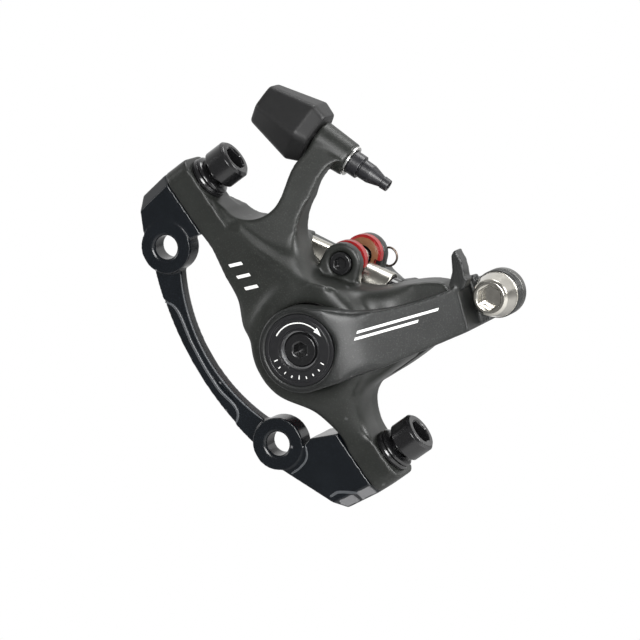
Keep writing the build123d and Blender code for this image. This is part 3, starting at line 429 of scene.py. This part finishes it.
bolt_black = plain_metal("bolt_black", (0.0065, 0.0065, 0.007), 0.19, 0.0, Specular_IOR_Level=0.6)
seat_tilt = math.radians(4.8)
seat_normal = np.array((math.cos(seat_tilt), 0, math.sin(seat_tilt)))
seat_line = np.array((-math.sin(seat_tilt), 0, math.cos(seat_tilt)))
seat_middle = np.array((11.4, 6.4, -3.2))
post_half = 37.1
posts = [seat_middle + seat_line * post_half, seat_middle - seat_line * post_half]
thread_radius, thread_depth, half_pitch = 2.95, 0.28, 0.5
thread = [(-9.0 + half_pitch * k, thread_radius - thread_depth * (k % 2), 0)
          for k in range(1, 38)]
bolt_profile = [
    (-8.9, 0, 0), (-8.9, 2.4, 0), *thread, (9.7, 2.7, 0), (9.7, 4.4, 0), (9.95, 4.65, 0),
    (14.3, 4.65, 0), (14.9, 4.05, 0), (14.9, 2.95, 0), (14.6, 2.5, 1), (11.9, 2.5, 1),
    (11.9, 0, 0),
]
stand_in(turned("post_bolts", posts, seat_normal, bolt_profile, 0.11), "mount_bolts",
         bolt_black, "caliper")
dished_profile = [
    (6.2, 3.6, 0), (6.2, 5.0, 0), (6.9, 5.0, 0), (7.4, 4.75, 0), (7.4, 3.6, 0), (6.2, 3.6, 0),
]
stand_in(turned("dished_pair", posts, seat_normal, dished_profile, 0.12), "dished_washers",
         bolt_black, "caliper")
domed_profile = [
    (7.4, 3.05, 0), (7.4, 4.6, 0), (7.8, 4.85, 0), (8.2, 4.6, 0), (8.6, 3.9, 0), (8.6, 3.05, 0),
    (7.4, 3.05, 0),
]
stand_in(turned("domed_pair", posts, seat_normal, domed_profile, 0.12), "domed_washers",
         bolt_black, "caliper")


# Caliper body: two forged aluminium halves, satin black over a fine blast. The outer half
# carries the bolt ears and the cable arm, the inner one only the far drum.
pivot = np.array((20.4, 15.3, -10.3))


def along(wire, place, origin, direction):
    """Distance in mm from an origin along a direction, from Object coordinates."""
    offset = wire.node("ShaderNodeVectorMath", settings={"operation": "SUBTRACT"},
                       i0=place, i1=tuple(np.array(origin) * MM))
    return wire.node("ShaderNodeVectorMath", output=1, settings={"operation": "DOT_PRODUCT"},
                     i0=offset, i1=tuple(np.array(direction) * 1000.0))


def stripes(wire, u, v, start, end, low, high):
    """1 where u is between start and end and v between low and high, else 0."""
    return (u > start) * (u < end) * (v > low) * (v < high)


band_foot = pivot + np.array((-6.9, 0, 24.5))
band_along = np.array((0.18, 0, -0.984))
band_across = np.array((0.984, 0, 0.18))


def band_print(wire, place):
    """Three short slanted pale bars on the band between the upper ear and the drum."""
    u = along(wire, place, band_foot, band_along)
    v = along(wire, place, band_foot, band_across)
    near = along(wire, place, pivot, (0, -1, 0)) > 10.0
    slant = u - v * 0.5
    step, width, half = 3.2, 0.8, 1.5
    bars = [stripes(wire, slant, v, step * k, step * k + width, -half, half) for k in range(3)]
    return (bars[0] + bars[1] + bars[2]) * near


body_black = black_metal("body_black", (0.0108, 0.0118, 0.0104), 0.38, 0.35, 0.25, band_print)
pad_turn = math.radians(37)
pad_radial = np.array((math.cos(pad_turn), 0, math.sin(pad_turn)))
pad_across = np.array((-math.sin(pad_turn), 0, math.cos(pad_turn)))
tab_across = 2.6
pin_foot = pivot + pad_radial * 17.5 + pad_across * tab_across


def drum_foot(points):
    """Share 1 on a ring 17 mm round the pivot axis and well out from the rotor, falling to 0
    at 9 and 25 mm, near the rotor and round the pad pin's ear, and to 0.3 on the free side."""
    flat = points[:, [0, 2]]
    away = np.linalg.norm(flat - pivot[[0, 2]], axis=1)
    depth = np.abs(points[:, 1] - pivot[1])
    ear = np.linalg.norm(flat - pin_foot[[0, 2]], axis=1)
    ring = np.clip(2.0 * (1 - np.abs(away - 17.0) / 8.0), 0, 1)
    free = 0.3 + 0.7 * np.clip(((flat - pivot[[0, 2]]) @ (0.878, -0.478) + 8.0) / 6.0, 0, 1)
    return ring * free * np.clip((depth - 7.0) / 3.0, 0, 1) * np.clip((ear - 5.0) / 1.5, 0, 1)


for side in ("outer", "inner"):
    half = merged_copy(f"body_{side}_half", f"{side}_body")
    forge(half, 0.34, 5, zone=drum_foot, zone_passes=150)
    stand_in(half, f"{side}_body", body_black, "caliper")
dress(nodes["body_screws"], bolt_black)


# Levers: two forged aluminium arms that swing together on the body's drums. A broad flat
# band runs from each hub to the lug of the pinch bolt; the outer one has the cable's finger.
lever_turn = math.radians(-15.7)
lever_along = np.array((math.cos(lever_turn), 0, math.sin(lever_turn)))
lever_across = np.array((-math.sin(lever_turn), 0, math.cos(lever_turn)))
# Where the band leaves the hub's plane: the crease, half the width of its rounding, the slope
bend_at, bend_half, bend_slope = 9.8, 6.0, 0.62


def lever_print(wire, place):
    """A pair of thin pale lines with slanted ends along the outer lever's band, whose face
    lies where depth + slope * u is over 30.6 mm."""
    u = along(wire, place, pivot, lever_along)
    v = along(wire, place, pivot, lever_across)
    depth = along(wire, place, pivot, (0, -1, 0))
    slant = u - v * 0.6
    face = (depth + u * bend_slope) > 30.6
    upper = stripes(wire, slant, v, 13.0, 29.0, 0.4, 0.95)
    lower = stripes(wire, slant, v, 13.0, 25.5, -0.9, -0.35)
    return (upper + lower) * face


def hub_grooves(wire, place):
    """Two fine turned grooves round the hub's face, 8.68 and 9.04 mm from the pivot axis;
    black_metal bumps them in and paints them darker as painted shade.
    """
    u = along(wire, place, pivot, lever_along)
    v = along(wire, place, pivot, lever_across)
    radius = wire.node("ShaderNodeMath", settings={"operation": "SQRT"}, i0=u * u + v * v)
    groove_half = 0.06
    first, second = (
        (radius > middle - groove_half) * (radius < middle + groove_half)
        for middle in (8.68, 9.04)
    )
    return first + second


lever_black = black_metal("lever_black", (0.0105, 0.0112, 0.0108), 0.35, 0.5, 0.25, lever_print,
                          hub_grooves)
outer_arm = merged_copy("lever_outer_forging", "outer_lever")
inner_arm = merged_copy("lever_inner_forging", "inner_lever")

# The inner lever carries no finger. One block takes off what stands above the band, and one
# all that lies beyond the lug's wall, except the lug itself. Spans in mm: along the lever,
# across it, and away from the pivot point towards the far side.
blocks = []
depth_span = (3.0, 40.0)
for along_span, across_span in (((28.0, 34.0), (4.1, 30.0)), ((33.95, 60.0), (-10.0, 30.0))):
    spans = np.meshgrid(along_span, across_span, depth_span, indexing="ij")
    along_mm, across_mm, depth_mm = (span.reshape(-1, 1) for span in spans)
    corners = pivot + along_mm * lever_along + across_mm * lever_across
    corners = corners + depth_mm * np.array((0, 1.0, 0))
    block_mesh = bpy.data.meshes.new("finger_block")
    block_mesh.from_pydata((corners * MM).tolist(), [], [
        (0, 1, 3, 2), (4, 6, 7, 5), (0, 4, 5, 1), (2, 3, 7, 6), (0, 2, 6, 4), (1, 5, 7, 3),
    ])
    work = bmesh.new()
    work.from_mesh(block_mesh)
    bmesh.ops.recalc_face_normals(work, faces=work.faces)
    work.to_mesh(block_mesh)
    work.free()
    block = bpy.data.objects.new("finger_block", block_mesh)
    scene.collection.objects.link(block)
    blocks.append(block)
    cut = inner_arm.modifiers.new("cut", "BOOLEAN")
    cut.operation = "DIFFERENCE"
    cut.solver = "EXACT"
    cut.object = block

# The finger's front edge, as distances across and along, and the share it is drawn in by
finger_front = ([3.9, 7.7, 11.2, 12.2], [31.4, 33.7, 34.4, 35.3])
finger_slim = 0.32


def soft_bend(points):
    """Rounds the crease where the band leaves the hub's plane: inside half a width h of it the
    face drops by slope * (h - distance)^2 / (4 h), and the back stays where it is. The finger
    is drawn towards its front edge, by a share of each point's distance from it."""
    u = (points - pivot) @ lever_along
    v = (points - pivot) @ lever_across
    depth = np.abs(points[:, 1] - pivot[1])
    near = np.clip(bend_half - np.abs(u - bend_at), 0, None) ** 2
    drop = bend_slope * near / (4 * bend_half) * np.clip((depth - 20.6) / 4.0, 0, 1)
    slim = finger_slim * np.clip((v - 4.0) / 2.0, 0, 1) * (u > 30.0) * (depth > 3.0)
    slim = slim * (u - np.interp(v, *finger_front))
    moved = points - slim[:, None] * lever_along
    moved[:, 1] += np.sign(pivot[1] - points[:, 1]) * drop
    return moved


def bend_zone(points):
    """Share 1 on the outward face 11 to 14 mm along, falling to 0 at 7.6 and 17.6 mm."""
    u = (points - pivot) @ lever_along
    depth = np.abs(points[:, 1] - pivot[1])
    return np.clip(1.6 * (1 - np.abs(u - 12.6) / 5.0), 0, 1) * np.clip((depth - 20.5) / 2, 0, 1)


for arm, node_name in ((outer_arm, "outer_lever"), (inner_arm, "inner_lever")):
    forge(arm, 0.28, 4, bent=soft_bend, zone=bend_zone, zone_passes=80)
    stand_in(arm, node_name, lever_black, "levers")
for block in blocks:
    bpy.data.meshes.remove(block.data)


# Adjusters: on each side a black dial sits in the lever's hub round the socket of the pad
# screw. The outer dial is printed with the sense of turn and nine plain marks.
dial_plastic = plain_metal("dial_plastic", (0.009, 0.009, 0.010), 0.30, 0.0)
print_white, print_shader, print_wire = principled("print_white")
print_place = print_wire.node("ShaderNodeTexCoord", output="Object")
print_drift = print_wire.node("ShaderNodeTexNoise", Vector=print_place, Scale=2500.0, Detail=3.0)
plug(print_shader, Base_Color=blend(print_wire, print_drift, (0.62, 0.62, 0.60, 1),
                                    (0.86, 0.86, 0.84, 1)), Roughness=0.5)
dial_profile = [
    (24.3, 4.3, 0), (24.3, 8.0, 0), (25.4, 8.0, 0), (25.4, 7.35, 0), (25.25, 7.3, 0),
    (25.25, 7.0, 0), (25.4, 6.95, 0), (25.4, 4.9, 0), (25.15, 4.85, 0), (25.15, 4.6, 0),
    (25.4, 4.55, 0), (25.4, 4.3, 0), (24.3, 4.3, 0),
]
screw_profile = [
    (7.6, 0, 0), (7.6, 5.2, 0), (8.4, 5.2, 0), (8.4, 3.9, 0), (24.4, 3.9, 0), (24.9, 3.5, 0),
    (24.9, 2.0, 0), (24.7, 1.5, 1), (21.9, 1.5, 1), (21.9, 0, 0),
]
for side, away in (("outer", -1), ("inner", 1)):
    outwards = (0, away, 0)
    stand_in(turned(f"{side}_dial_ring", [pivot], outwards, dial_profile, 0.07), f"{side}_dial",
             dial_plastic, "levers")
    stand_in(turned(f"{side}_pad_screw", [pivot], outwards, screw_profile, 0.12),
             f"{side}_adjuster", bolt_black, f"{side}_adjuster")

face_right = np.array((1.0, 0, 0))
face_up = np.array((0, 0, 1.0))
print_depth = 25.42


def printed(name, radii, angles):
    """A thin strip on the dial: at share s along it the angle and the two radii are read
    between the given ones, and its points are radius * (cos, sin) of the angle."""
    share = np.linspace(0, 1, 40)
    turn = np.radians(np.interp(share, np.linspace(0, 1, len(angles)), angles))
    low = np.interp(share, np.linspace(0, 1, len(radii)), [r[0] for r in radii])
    high = np.interp(share, np.linspace(0, 1, len(radii)), [r[1] for r in radii])
    ray = np.cos(turn)[:, None] * face_right + np.sin(turn)[:, None] * face_up
    base = pivot - np.array((0, print_depth, 0))
    rows = np.stack([base + low[:, None] * ray, base + high[:, None] * ray])
    made = grid_piece(name, rows[None], False)
    dress(made, print_white)
    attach(made, "levers")


# Upright in the photograph is 58 degrees above the part's own X
view_up = 58
printed("turn_arrow_shaft", [(5.95, 6.2)], [view_up + 62, view_up - 38])
printed("turn_arrow_head", [(5.45, 6.7), (6.05, 6.1)], [view_up - 38, view_up - 56])
mark_step, mark_half, mark_end = 16, 1.1, 6.5
for number in range(9):
    angle = view_up + 180 + mark_step * (number - 4)
    mark_start = 5.6 if number % 4 == 0 else 5.95
    printed(f"dial_mark_{number}", [(mark_start, mark_end)],
            [angle - mark_half, angle + mark_half])


# Pinch bolt: polished stainless, with a coned head and a 5 mm socket. It clamps the bare
# cable between its washer and the outer lever's lug; a collared nut holds the far lug.
stainless = plain_metal("stainless", (0.56, 0.54, 0.49), 0.20, 1.0, 0.1)
lever_length = 39.3
anchor = pivot + lever_along * lever_length
anchor_profile = [
    (-5.1, 0, 0), (-5.1, 2.5, 0), (2.0, 2.5, 0), (2.0, 5.0, 0), (2.8, 4.9, 0), (6.4, 4.1, 0),
    (7.0, 3.55, 0), (7.0, 3.0, 0), (6.8, 2.5, 1), (4.4, 2.5, 1), (4.4, 1.5, 1), (4.4, 0, 0),
]
stand_in(turned("pinch_bolt", [anchor], (0, -1, 0), anchor_profile, 0.14), "anchor_bolt",
         stainless, "levers")
pinch_washer = [
    (1.5, 2.56, 0), (1.5, 5.1, 0), (2.0, 5.1, 0), (2.0, 2.56, 0), (1.5, 2.56, 0),
]
stand_in(turned("pinch_washer", [anchor], (0, -1, 0), pinch_washer, 0.1), "anchor_washer",
         stainless, "levers")
nut_profile = [
    (1.5, 2.56, 0), (1.5, 5.4, 0), (3.5, 5.4, 0), (3.5, 4.0, 1), (5.1, 4.0, 1), (5.1, 2.56, 0),
    (1.5, 2.56, 0),
]
nut_steel = plain_metal("nut_steel", (0.10, 0.10, 0.095), 0.28)
stand_in(turned("pinch_nut", [anchor], (0, 1, 0), nut_profile, 0.14), "anchor_nut",
         nut_steel, "levers")


# Pads and what holds them: red backing plates with round tabs, sintered linings, a socket
# pin through the tabs with its wire clip, a bright saddle spring and two polished sleeves.
# The tab's disc: its centre from the pivot axis along the pad, and its radius
tab_reach, tab_radius = 17.9, 3.7


def pad_paint(name, worn_colour=None):
    """Red enamel. With a worn colour, the tab's disc shows that on its outward face."""
    made, shader, wire = principled(name)
    place = wire.node("ShaderNodeTexCoord", output="Object")
    drift = wire.node("ShaderNodeTexNoise", Vector=place, Scale=600.0, Detail=4.0)
    tone = blend(wire, drift, (0.17, 0.004, 0.005, 1), (0.29, 0.010, 0.010, 1))
    if worn_colour:
        u = along(wire, place, pivot + pad_across * tab_across, pad_radial) - tab_reach
        v = along(wire, place, pivot + pad_across * tab_across, pad_across)
        disc = (u * u + v * v) < tab_radius ** 2
        normal = wire.node("ShaderNodeTexCoord", output="Normal")
        facing = wire.node("ShaderNodeVectorMath", output=1,
                           settings={"operation": "DOT_PRODUCT"}, i0=normal, i1=(0, -1, 0))
        tone = blend(wire, disc * (facing > 0.6), tone, (*worn_colour, 1))
    bump = wire.node("ShaderNodeBump", Height=drift, Strength=0.15, Distance=0.00005)
    plug(shader, Base_Color=tone, Roughness=drift * 0.2 + 0.22, Normal=bump)
    return made


pad_red = pad_paint("pad_red")
pad_worn = pad_paint("pad_worn", (0.17, 0.075, 0.035))
lining = plain_metal("lining", (0.22, 0.15, 0.10), 0.8, 0.3, 0.8)
for side, paint in (("outer", pad_red), ("inner", pad_worn)):
    dress(nodes[f"{side}_plate"], paint)
    dress(nodes[f"{side}_lining"], lining)

pin_profile = [
    (-11.2, 0, 0), (-11.2, 2.0, 0), (-10.6, 2.0, 0), (-10.6, 1.55, 0), (-10.1, 1.55, 0),
    (-10.1, 2.0, 0), (7.8, 2.0, 0), (7.8, 2.6, 0), (9.9, 2.6, 0), (10.2, 2.3, 0),
    (10.2, 1.55, 0), (10.05, 1.25, 1), (8.7, 1.25, 1), (8.7, 0, 0),
]
stand_in(turned("pad_bolt", [pin_foot], (0, -1, 0), pin_profile, 0.1), "pad_pin",
         bolt_black, "caliper")
spring_steel = plain_metal("spring_steel", (0.78, 0.77, 0.75), 0.22)
dark_wire = plain_metal("dark_wire", (0.11, 0.085, 0.07), 0.32)
sleeve_chrome = plain_metal("sleeve_chrome", (0.40, 0.385, 0.345), 0.24, 1.0, 0.1)
dress(nodes["pad_spring"], spring_steel)
dress(nodes["pin_clip"], dark_wire)
dress(nodes["cross_pins"], bolt_black)
bridge_foot = pivot + pad_radial * 14.0
sleeve_bore, sleeve_radius = 3.2, 4.0
for number, (low, high) in enumerate([(-7.4, -0.9), (6.5, 14.4)], 1):
    sleeve_profile = [
        (low, sleeve_bore, 0), (low, sleeve_radius, 0), (high, sleeve_radius, 0),
        (high, sleeve_bore, 0), (low, sleeve_bore, 0),
    ]
    stand_in(turned(f"sleeve_{number}", [bridge_foot], pad_across, sleeve_profile, 0.25),
             "bridge_sleeves", sleeve_chrome, "caliper")


# Barrel adjuster: a faceted black knob turns a threaded barrel through the arm's boss. The
# cable leaves it through a stepped plastic nozzle, past a thin turned ring.
barrel_turn = math.radians(-62.6)
barrel_axis = np.array((math.cos(barrel_turn), 0, math.sin(barrel_turn)))
barrel_foot = np.array((35.9, 15.3, 36.1))
ring_metal = plain_metal("ring_metal", (0.72, 0.72, 0.70), 0.25)
nozzle_plastic = plain_metal("nozzle_plastic", (0.012, 0.012, 0.014), 0.36, 0.0)
knob_plastic = plain_metal("knob_plastic", (0.011, 0.011, 0.0112), 0.46, 0.0, 0.5,
                           Specular_IOR_Level=0.3)
ring_profile = [
    (16.2, 3.0, 0), (16.2, 3.7, 0), (16.7, 3.7, 0), (16.7, 3.0, 0), (16.2, 3.0, 0),
]
stand_in(turned("boss_ring", [barrel_foot], barrel_axis, ring_profile, 0.1), "barrel_insert",
         ring_metal, "caliper")
nozzle_profile = [
    (16.7, 0.9, 0), (16.7, 2.8, 0), (19.3, 2.8, 0), (19.3, 1.95, 0), (19.6, 1.95, 0),
    (19.6, 2.25, 0), (22.0, 2.2, 0), (25.2, 1.3, 0), (25.2, 1.5, 0), (26.9, 1.4, 0),
    (26.9, 0.9, 0), (16.7, 0.9, 0),
]
stand_in(turned("cable_spout", [barrel_foot], barrel_axis, nozzle_profile, 0.14),
         "cable_nozzle", nozzle_plastic, "barrel")
dress(nodes["barrel_screw"], bolt_black)
knob = merged_copy("barrel_knob", "knob")
forge(knob, 0.24, 7)
stand_in(knob, "knob", knob_plastic, "knob")


# Inside the drums: bronze bush and thrust washer, the cam with its balls, the piston and the
# foot that presses the pad, the return spring and the lock nut. All plain machined pieces.
bronze = plain_metal("bronze", (0.60, 0.42, 0.20), 0.35)
machine_steel = plain_metal("machine_steel", (0.55, 0.55, 0.56), 0.3)
piston_alloy = plain_metal("piston_alloy", (0.60, 0.60, 0.62), 0.35)
inside = {
    "bush": bronze, "thrust_washer": bronze, "spring": spring_steel, "cam": machine_steel,
    "lock_nut": machine_steel, "piston": piston_alloy, "balls": machine_steel,
    "foot": machine_steel,
}
for side in ("outer", "inner"):
    for piece, finish in inside.items():
        dress(nodes[f"{side}_{piece}"], finish)
